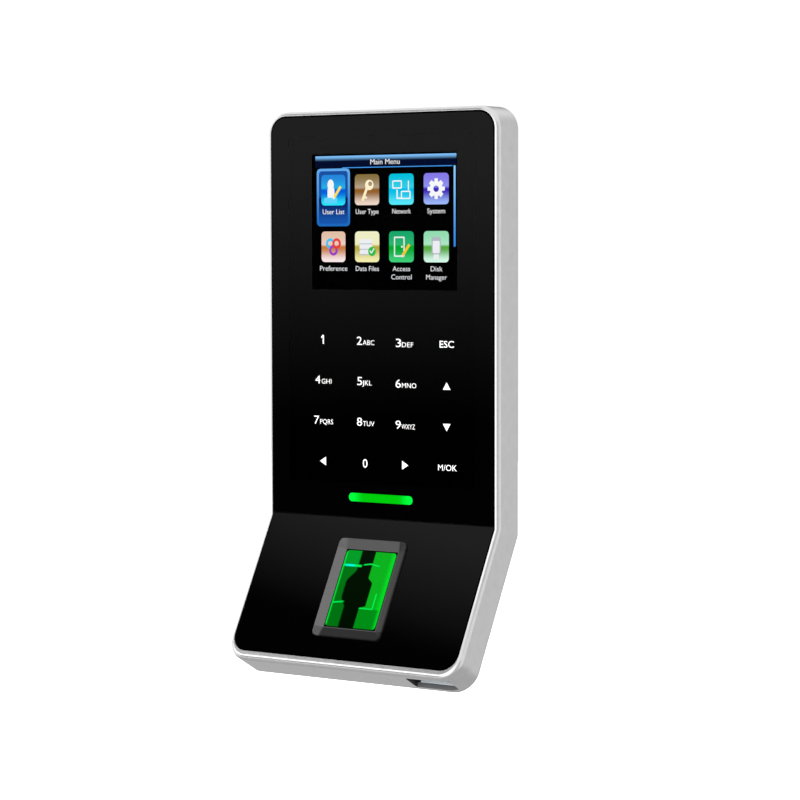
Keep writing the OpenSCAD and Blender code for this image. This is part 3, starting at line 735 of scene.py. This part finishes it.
def touch_glass():
    """The black touch glass: its printed body with a pocket, and the clear panes that fill it."""
    half_w = PANEL_W - PANEL_GAP
    body = block("touch_glass_body", -half_w, half_w, 0, GLASS_T, GLASS_BOTTOM,
                 PANEL_TOP - PANEL_GAP)
    round_corners(body, PANEL_CORNER, 12, lambda p: p.z > 50)
    front_edges(body, PANEL_EASE, 2, lambda p: p.z > 2)
    cut(body, block("pocket_cutter", -PANE_HALF_W, PANE_HALF_W, -1, 1.7, *PANE_Z))
    cut(body, block("window_cutter", -24.45, 24.45, 1, 3, 64.5, 102.4))
    two_finishes(body, FINISHES["front_glass"], FINISHES["display_glass"], behind_front)
    place(body, UPRIGHT, "terminal", "front_glass", replaced=["touch_glass"])
    gloss = clear_pane("pane_gloss", 1.0)
    quiet = clear_pane("pane_quiet", 0.05)
    clear = clear_pane("pane_back", 0.0)
    half_w = PANE_HALF_W - PANE_FIT
    around = block("clear_pane", -half_w, half_w, 0, PANE_T, PANE_Z[0] + PANE_FIT,
                   PANE_Z[1] - PANE_FIT)
    cut(around, block("quiet_cutter", *COVER_X, -1, 3, *COVER_Z))
    over = block("display_cover", COVER_X[0] + PANE_FIT, COVER_X[1] - PANE_FIT, 0, PANE_T,
                 COVER_Z[0] + PANE_FIT, COVER_Z[1] - PANE_FIT)
    for pane, front in ((around, gloss), (over, quiet)):
        two_finishes(pane, front, clear, lambda f: f.normal.y > -0.9)
        place(pane, UPRIGHT, "terminal", "front_glass")


def behind_front(face):
    return middle(face).y > 0.02


def lower_panel():
    """The gloss black panel under the bend, with the hole for the sensor."""
    half_w = PANEL_W - PANEL_GAP
    piece = block("lower_panel_gloss", -half_w, half_w, 0, GLASS_T, PANEL_GAP - PANEL_L,
                  PANEL_RISE)
    round_corners(piece, PANEL_CORNER, 12, lambda p: p.z < LOWER_END)
    front_edges(piece, PANEL_EASE, 2, lambda p: p.z < -0.5 or abs(p.x) > PANEL_W - 1)
    hole = block("bezel_cutter", -10.72, 10.72, -1, 4, -34.25, -6.65)
    round_corners(hole, 1.3, 6)
    cut(piece, hole)
    two_finishes(piece, FINISHES["gloss_panel"], FINISHES["display_glass"], behind_front)
    return place(piece, SLOPE, "terminal", "gloss_panel", replaced=["lower_panel"])


def sensor_bezel():
    """The satin ring that slopes in to the sensor's window."""
    piece = block("sensor_bezel_ring", -11.4, 11.4, -0.6, 2.9, -35.15, -5.75)
    round_corners(piece, 1.6)
    pick(piece, "FACE", lambda f: f.normal.y < -0.9)
    bpy.ops.mesh.inset(thickness=0.3, depth=0)
    pick(piece, "FACE", lambda f: f.normal.y < -0.9 and f.calc_area() > 100)
    bpy.ops.mesh.inset(thickness=2.4, depth=-0.95)
    bpy.ops.transform.resize(value=(1, 1, 23.55 / 24.0), orient_type="GLOBAL")
    bpy.ops.mesh.extrude_region_move(TRANSFORM_OT_translate={"value": (0, 1.2, 0)})
    bpy.ops.mesh.delete(type="FACE")
    pick(piece, "FACE", lambda f: f.normal.y > 0.9 and f.calc_area() > 100)
    bpy.ops.mesh.inset(thickness=1.2, depth=0)
    bpy.ops.mesh.delete(type="FACE")
    bpy.ops.mesh.select_mode(type="EDGE")
    bpy.ops.mesh.select_all(action="DESELECT")
    bpy.ops.mesh.select_non_manifold(extend=False)
    bpy.ops.mesh.bridge_edge_loops()
    front_edges(piece, 0.25, 3, lambda p: abs(p.x) > 11.2 or p.z > -5.9 or p.z < -35)
    place(piece, SLOPE, "terminal", "bezel_grey", FINISHES["bezel_grey"],
          replaced=["sensor_bezel"])


def sensor_window():
    """The prism block under the finger, with eased edges."""
    piece = block("sensor_prism_glass", -WINDOW_HALF_W, WINDOW_HALF_W, 0.36, 3.4, *WINDOW_Z)
    front_edges(piece, 0.12, 2)
    pick(piece, "FACE", lambda f: f.normal.y > 0.9)
    bpy.ops.mesh.extrude_region_move(TRANSFORM_OT_translate={"value": (0, 6.5, -7)})
    bpy.ops.transform.resize(value=(1, 1, 0.2), orient_type="GLOBAL")
    place(piece, SLOPE, "terminal", "sensor_glass", FINISHES["sensor_glass"],
          replaced=["sensor_prism"])


def status_light():
    """The lit bar under the keys."""
    piece = block("status_light_window", -10.8, 10.8, -0.015, 1.75, 5.2, 7.6)
    round_corners(piece, 1.15)
    place(piece, UPRIGHT, "terminal", "green_light", FINISHES["green_light"])


# ---- what the display and the keys show ----


class Picture:
    """A set of thin shapes in one piece. Higher layers lie in front of lower ones."""

    def __init__(self, name, depth, step=0.012):
        self.piece = begin(name, "plane", size=0.001, location=(0, depth, 0))
        bpy.ops.mesh.select_all(action="SELECT")
        bpy.ops.mesh.delete(type="VERT")
        self.depth = depth
        self.step = step
        self.colours = []

    def spot(self, layer, x, z):
        return (x, self.depth - layer * self.step, z)

    def add_colour(self, finish):
        if finish not in self.colours:
            self.colours.append(finish)
            self.piece.data.materials.append(finish)

    def paint(self, finish):
        self.add_colour(finish)
        self.piece.active_material_index = self.colours.index(finish)
        bpy.ops.object.material_slot_assign()

    def stretch(self, spot, wide, tall, turn):
        bpy.ops.transform.resize(value=(wide, 1, tall), center_override=spot)
        if turn:
            bpy.ops.transform.rotate(value=turn, orient_axis="Y", center_override=spot)

    def box(self, finish, layer, x, z, wide, tall, corner=0.0, turn=0.0):
        bpy.ops.mesh.select_all(action="DESELECT")
        spot = self.spot(layer, x, z)
        bpy.ops.mesh.primitive_plane_add(size=1, location=spot, rotation=(math.pi / 2, 0, 0))
        self.stretch(spot, wide, tall, 0.0)
        if corner:
            bevel(corner, 4, "VERTICES")
        self.stretch(spot, 1, 1, turn)
        self.paint(finish)

    def disc(self, finish, layer, x, z, wide, tall=None, sides=28, turn=0.0):
        bpy.ops.mesh.select_all(action="DESELECT")
        spot = self.spot(layer, x, z)
        bpy.ops.mesh.primitive_circle_add(vertices=sides, radius=0.5, fill_type="NGON",
                                          location=spot, rotation=(math.pi / 2, 0, 0))
        self.stretch(spot, wide, tall or wide, turn)
        self.paint(finish)

    def words(self, finish, layer, text, x, z, tall, width, align="LEFT", thick=0.0):
        """Letters whose capitals are that tall and stand on height z, squeezed to the width."""
        release()
        bpy.ops.object.text_add()
        letters = bpy.context.object
        letters.data.body = text
        letters.data.align_x = align
        letters.data.size = tall / CAPITAL
        letters.data.offset = thick
        letters.data.resolution_u = 3
        bpy.ops.object.convert(target="MESH")
        letters = bpy.context.object
        across = [v.co.x for v in letters.data.vertices]
        squeeze = width / (max(across) - min(across))
        letters.data.transform(Matrix.Diagonal((squeeze, 1, 1, 1)))
        letters.matrix_world = (Matrix.Translation(self.spot(layer, x, z))
                                @ Matrix.Rotation(math.pi / 2, 4, "X"))
        bpy.ops.object.transform_apply(location=True, rotation=True, scale=True)
        self.add_colour(finish)
        letters.data.materials.clear()
        letters.data.materials.append(finish)
        letters.select_set(True)
        self.piece.select_set(True)
        bpy.context.view_layer.objects.active = self.piece
        bpy.ops.object.join()
        bpy.ops.object.mode_set(mode="EDIT")

    def done(self, matrix, slot, thickness=0.006):
        """Gives the shapes their thickness and puts the picture in its place."""
        only(self.piece)
        wall = self.piece.modifiers.new("thickness", "SOLIDIFY")
        wall.thickness = thickness
        wall.offset = -1
        bpy.ops.object.modifier_apply(modifier=wall.name)
        return place(self.piece, matrix, "terminal", slot, smooth=20)


CAPITAL = 0.729  # how tall a capital is in letters of size 1
TILE_X = (-17.4, -5.8, 5.8, 17.4)
TILE_ROWS = (92.5, 76.6)
TILE_W, TILE_H = 8.3, 8.6


def display_picture():
    """The menu on the lit display: a title, eight tiles with captions and a scroll bar."""
    lit = {
        "white": lit_finish("lit_white", (0.85, 0.87, 0.9), (1.0, 1.0, 1.0), 66, 102, 0.95),
        "title": lit_finish("lit_title", (0.001, 0.004, 0.025), (0.22, 0.55, 1.0), 100.5, 102.1),
        "line": lit_finish("lit_line", (0.03, 0.22, 0.75), (0.06, 0.35, 0.95), 66, 102),
        "bar": lit_finish("lit_bar", (0.03, 0.25, 0.8), (0.25, 0.6, 1.0), 76, 99),
        "glow": lit_finish("lit_glow", (0.01, 0.1, 0.45), (0.01, 0.08, 0.35), 82, 98.5, 1.0,
                           (0.002, 0.01, 0.1)),
        "rim": lit_finish("lit_rim", (0.01, 0.14, 0.5), (0.12, 0.4, 0.85), 82, 98.5),
        "yellow": lit_finish("lit_yellow", (0.95, 0.5, 0.02), (1.0, 0.8, 0.1), 66, 102),
        "cream": lit_finish("lit_cream", (0.85, 0.65, 0.3), (1.0, 0.92, 0.65), 66, 102),
        "red": lit_finish("lit_red", (0.75, 0.02, 0.03), (1.0, 0.15, 0.1), 66, 102),
        "cyan": lit_finish("lit_cyan", (0.01, 0.45, 0.85), (0.15, 0.75, 1.0), 66, 102),
        "violet": lit_finish("lit_violet", (0.3, 0.03, 0.5), (0.5, 0.15, 0.8), 66, 102),
        "green": lit_finish("lit_green", (0.01, 0.45, 0.05), (0.1, 0.8, 0.15), 66, 102),
        "grey": lit_finish("lit_grey", (0.35, 0.4, 0.45), (0.65, 0.7, 0.75), 66, 102),
    }
    picture = Picture("display_picture", 2.13)
    picture.box(lit["title"], 1, 0.2, 100.42, 47.6, 3.3)
    picture.box(lit["line"], 2, 4.2, 98.72, 37.0, 0.22)
    picture.words(lit["white"], 3, "Main Menu", 0.3, 99.5, 1.55, 9.9, "CENTER")
    picture.box(lit["rim"], 1, TILE_X[0], 90.45, 11.5, 16.2, 1.2)
    picture.box(lit["glow"], 2, TILE_X[0], 90.45, 10.0, 14.8, 0.9)
    picture.box(lit["bar"], 1, 23.43, 87.7, 0.62, 22.2, 0.2)
    looks = [  # of each tile at its foot, its head and round its middle
        ((0.02, 0.8, 1.0), (0.02, 0.25, 0.75), (0.0, 0.12, 0.75)),
        ((0.9, 0.72, 0.6), (0.25, 0.17, 0.05), (0.3, 0.12, 0.02)),
        ((0.1, 0.85, 1.0), (0.0, 0.55, 0.75), (0.0, 0.55, 0.85)),
        ((0.35, 0.5, 1.0), (0.25, 0.2, 0.85), (0.05, 0.02, 0.5)),
        ((1.0, 0.85, 0.85), (0.8, 0.55, 0.4), (0.6, 0.22, 0.05)),
        ((0.95, 0.9, 0.45), (0.9, 0.9, 0.6), (0.5, 0.42, 0.05)),
        ((0.05, 0.65, 0.2), (0.01, 0.4, 0.15), (0.0, 0.42, 0.03)),
        ((0.7, 1.0, 0.85), (0.3, 0.75, 0.45), (0.1, 0.42, 0.05)),
    ]
    captions = [["User List"], ["User Type"], ["Network"], ["System"], ["Preference"],
                ["Data Files"], ["Access", "Control"], ["Disk", "Manager"]]
    widths = {"User List": 7.5, "User Type": 7.8, "Network": 6.2, "Preference": 9.5,
              "Data Files": 7.9}
    for index, (low, high, belly) in enumerate(looks):
        x, z = TILE_X[index % 4], TILE_ROWS[index // 4]
        tile = lit_finish(f"lit_tile_{index + 1}", low, high, z - TILE_H / 2, z + TILE_H / 2,
                          0.95, belly)
        picture.box(tile, 3, x, z, TILE_W, TILE_H, 1.1)
        tile_symbol(picture, lit, tile, index, x, z)
        for row, word in enumerate(captions[index]):
            wide = widths.get(word, 0.98 * len(word))
            picture.words(lit["white"], 3, word, x, z - 6.75 - 2.3 * row, 1.45, wide, "CENTER")
    return picture.done(UPRIGHT, "display_glass")


def pencil(picture, lit, x, z):
    """A leaning pencil, with its top at the upper right."""
    picture.box(lit["yellow"], 6, x, z, 0.8, 4.0, 0.15, -0.65)
    picture.box(lit["white"], 7, x - 1.25, z - 1.6, 0.6, 0.6, 0.1, -0.65)


def tile_symbol(picture, lit, tile, index, x, z):
    """A plain symbol in the middle of a tile."""
    if index == 0:
        picture.disc(lit["white"], 4, x - 0.9, z + 1.5, 2.2, 3.0)
        picture.box(lit["white"], 4, x - 0.8, z - 0.9, 2.4, 3.6, 0.9)
        picture.box(lit["cyan"], 4.5, x - 0.9, z - 2.9, 4.6, 1.6, 0.5)
        pencil(picture, lit, x + 1.4, z - 0.6)
    elif index == 1:
        picture.disc(lit["cream"], 4, x + 0.8, z + 1.3, 2.9)
        picture.disc(tile, 5, x + 1.1, z + 1.6, 1.3)
        picture.box(lit["cream"], 4, x - 0.7, z - 1.1, 0.85, 4.2, 0.1, -0.42)
        picture.box(lit["cream"], 4, x - 0.6, z - 2.1, 1.3, 0.6, 0.1, -0.42)
    elif index == 2:
        picture.box(lit["white"], 4, x - 1.4, z + 1.3, 3.2, 2.3, 0.3)
        picture.box(tile, 5, x - 1.4, z + 1.3, 2.5, 1.6, 0.15)
        picture.box(lit["white"], 4, x + 1.5, z - 1.6, 3.2, 2.3, 0.3)
        picture.box(tile, 5, x + 1.5, z - 1.6, 2.5, 1.6, 0.15)
        picture.box(lit["white"], 4, x - 1.4, z - 1.4, 0.4, 2.6)
        picture.box(lit["white"], 4, x - 0.6, z - 2.5, 1.8, 0.4)
        picture.box(lit["white"], 4, x + 2.4, z + 1.0, 0.35, 2.6)
    elif index == 3:
        for step in range(8):
            turn = step * math.pi / 4
            tooth = (x + 2.2 * math.sin(turn), z + 2.2 * math.cos(turn))
            picture.box(lit["white"], 4, *tooth, 1.1, 1.3, 0.15, turn)
        picture.disc(lit["white"], 4.3, x, z, 4.2)
        picture.disc(tile, 5, x, z, 1.8)
    elif index == 4:
        for finish, dx, dz in (("cyan", -1.1, 0.9), ("red", 1.1, 0.9), ("violet", 0, -1.0)):
            picture.disc(lit[finish], 4 + (dx + 1.1) * 0.3, x + dx, z + dz, 3.0)
            picture.disc(tile, 5 + (dx + 1.1) * 0.3, x + dx, z + dz, 1.5)
    elif index == 5:
        for row in range(3):
            picture.box(lit["white"], 4 + row, x - 0.4, z - 1.6 + 1.5 * row, 4.4, 1.5, 0.5)
            picture.box(lit["grey"], 4.5 + row, x - 0.4, z - 2.2 + 1.5 * row, 4.4, 0.22)
        picture.disc(lit["green"], 8, x + 1.7, z - 1.3, 2.6)
        picture.box(lit["white"], 9, x + 1.25, z - 1.45, 0.35, 0.9, 0.05, 0.7)
        picture.box(lit["white"], 9, x + 1.95, z - 1.15, 0.35, 1.6, 0.05, -0.6)
    elif index == 6:
        picture.box(lit["white"], 4, x - 0.7, z, 3.6, 5.6, 0.3)
        picture.box(tile, 5, x - 0.7, z, 2.8, 4.8, 0.2)
        picture.disc(lit["white"], 6, x + 0.2, z, 0.6)
        pencil(picture, lit, x + 1.5, z - 1.0)
    else:
        picture.box(lit["grey"], 4, x, z + 0.3, 3.0, 4.8, 0.5)
        picture.box(lit["white"], 5, x, z - 0.1, 2.3, 3.4, 0.3)
        picture.box(lit["white"], 4, x, z - 2.8, 1.8, 1.4, 0.1)


def key_legends():
    """The white print of the sixteen key areas."""
    ink = grained("key_print", grey(0.9), grey(1.0), 2500.0, (0.4, 0.5),
                  Emission_Color=WHITE, Emission_Strength=0.7)
    picture = Picture("key_legends", 1.69)
    rows = (48.6, 37.3, 25.85, 14.6)
    starts = (-23.65, -9.3, 3.85)  # of the first three columns
    drops = (0.62, 0.55, 0.2)
    keys = [("2", "ABC", 1, 0, 4.2), ("3", "DEF", 2, 0, 4.0), ("4", "GHI", 0, 1, 3.6),
            ("5", "JKL", 1, 1, 3.4), ("6", "MNO", 2, 1, 5.0), ("7", "PQRS", 0, 2, 4.7),
            ("8", "TUV", 1, 2, 4.1), ("9", "WXYZ", 2, 2, 4.7)]
    for digit, more, column, row, width in keys:
        x, z = starts[column], rows[row] + drops[column]
        if digit == "7":
            x -= 0.6
        picture.words(ink, 1, digit, x, z, 2.42, 1.75, thick=-0.008)
        picture.words(ink, 1, more, x + 2.15, z, 1.45, width - 0.2, thick=-0.012)
    picture.box(ink, 1, -20.75, rows[0] + 0.6 + 1.25, 0.4, 2.5)
    picture.box(ink, 1.5, -21.1, rows[0] + 0.6 + 2.1, 0.36, 1.0, 0.0, -0.75)
    picture.words(ink, 1, "0", -7.3, rows[3] + 0.1, 2.55, 1.6)
    picture.words(ink, 1, "ESC", 21.05, rows[0] + 0.35, 1.95, 4.7, "CENTER", 0.015)
    picture.words(ink, 1, "M/OK", 21.2, rows[3] + 0.45, 1.75, 6.2, "CENTER")
    for x, z, turn in ((21.05, rows[1] + 0.75, 0.0), (21.05, rows[2] + 1.45, math.pi),
                       (-20.65, rows[3] + 1.35, math.pi / 2),
                       (6.85, rows[3] + 1.35, -math.pi / 2)):
        picture.disc(ink, 1, x, z, 2.85, 2.75, 3, turn)
    return picture.done(UPRIGHT, "white_plastic")


# ---- studio ----


def camera():
    """A long lens from the right, a little above the object."""
    azimuth, rise, roll = (math.radians(v) for v in (34.45, 3.345, -0.116))
    back = Vector((math.sin(azimuth) * math.cos(rise), -math.cos(azimuth) * math.cos(rise),
                   math.sin(rise)))
    right = Vector((math.cos(azimuth), math.sin(azimuth), 0))
    up = back.cross(right)
    side = right * math.cos(roll) + up * math.sin(roll)
    top = up * math.cos(roll) - right * math.sin(roll)
    view = Matrix((side, top, back)).transposed().to_4x4()
    view.translation = Vector((0.43289, -0.64072, 0.02824))
    lens = bpy.data.cameras.new("camera")
    lens.lens = 122.58
    lens.sensor_width = 36
    lens.clip_start = 0.01
    shown = bpy.data.objects.new("camera", lens)
    shown.matrix_world = view
    bpy.context.scene.collection.objects.link(shown)
    bpy.context.scene.camera = shown


RING = (  # how the studio brightens from one azimuth to the next, in degrees from the front
    (-150, -135, 1.15), (-30, -15, 0.7), (19, 30, -1.4), (62, 80, 0.5), (122, 138, -0.35),
    (155, 172, -0.6),
)
RING_START = 0.35
CEILING = 1.4
GROUND = 0.68
GLEAM = 1.3
BACKDROP = 1.05


def studio_light():
    """A pale studio all round: a ring of soft boxes, a bright ceiling and two dark flags."""
    world = bpy.data.worlds.new("studio")
    bpy.context.scene.world = world
    world.use_nodes = True
    tree = world.node_tree
    around = tree.nodes.new("ShaderNodeTexCoord").outputs["Generated"]
    parts = tree.nodes.new("ShaderNodeSeparateXYZ")
    tree.links.new(around, parts.inputs[0])
    x, y, z = (Field(tree, socket) for socket in parts.outputs)
    turn = x.math("ARCTAN2", -y) * (180 / math.pi)

    def without(share):
        return -share + 1.0

    start, end, change = RING[0]
    ring = turn.rise(start, end) * change
    for start, end, change in RING[1:]:
        ring = ring + turn.rise(start, end) * change
    ring = ring + RING_START
    below = z.rise(-0.2, -0.5)
    above = z.rise(0.35, 0.6)
    bright = (ring * without(above) + above * CEILING) * without(below) + below * GROUND
    gleam = turn.rise(-65, -55) * turn.rise(-12, -25) * z.rise(0.11, 0.18) * z.rise(0.56, 0.48)
    bright = bright + gleam * GLEAM

    # The flags keep the glass and the lower panel black, but for a soft glow at their edges
    low_flag = turn.rise(-54, -45) * turn.rise(-19, -26) * z.rise(-0.2, -0.14) * z.rise(0.15, 0.1)
    high_flag = turn.rise(-72, -60) * turn.rise(-30, -38) * z.rise(0.5, 0.56) * z.rise(0.85, 0.75)
    low_glow = (z + 0.066).math("MULTIPLY", 4.0, clamp=True).math("POWER", 1.2).least(0.32)
    high_glow = (z * 11.3 - x * 4.0 - 9.18).most(0.0).least(0.31)
    light = bright * without(low_flag) * without(high_flag)
    light = light + low_glow * low_flag + high_glow * high_flag

    sky = Field(tree, tree.nodes.new("ShaderNodeLightPath").outputs["Is Camera Ray"])
    light = light * without(sky) + sky * BACKDROP
    background = tree.nodes["Background"]
    tree.links.new(light.socket, background.inputs["Strength"])
    background.inputs["Color"].default_value = (*WHITE, 1)


def soft_lamp(name, spot, aim, size, power):
    """A broad lamp that lights the paint and plastic but leaves no glare in the gloss."""
    data = bpy.data.lights.new(name, "AREA")
    data.shape = "DISK"
    data.size = size
    data.energy = power
    lamp = bpy.data.objects.new(name, data)
    lamp.location = spot
    lamp.rotation_euler = (Vector(aim) - Vector(spot)).to_track_quat("-Z", "Y").to_euler()
    lamp.visible_glossy = False
    lamp.visible_camera = False
    bpy.context.scene.collection.objects.link(lamp)


def studio_floor():
    """A plain pale floor well below the object."""
    piece = begin("studio_floor", "plane", size=6, location=(0, 0, -0.32))
    release()
    white, tree, shader = new_finish("studio_white", Roughness=0.9)
    shade = noise_field(tree, 3.0)
    colour(shader, shade, grey(0.97), grey(1.0))
    shader.inputs["Emission Color"].default_value = (1, 1, 1, 1)
    shader.inputs["Emission Strength"].default_value = 1.0
    piece.data.materials.append(white)
    piece.visible_glossy = False
    piece.visible_diffuse = False


cover_frame()
silver_frame()
touch_glass()
lower_panel()
sensor_bezel()
sensor_window()
status_light()
display_picture()
key_legends()
release()
camera()
studio_light()
soft_lamp("key_lamp", (0.55, -1.2, 0.35), (0, 0, 0), 0.9, 10)
studio_floor()
bpy.context.scene.view_settings.view_transform = "Standard"
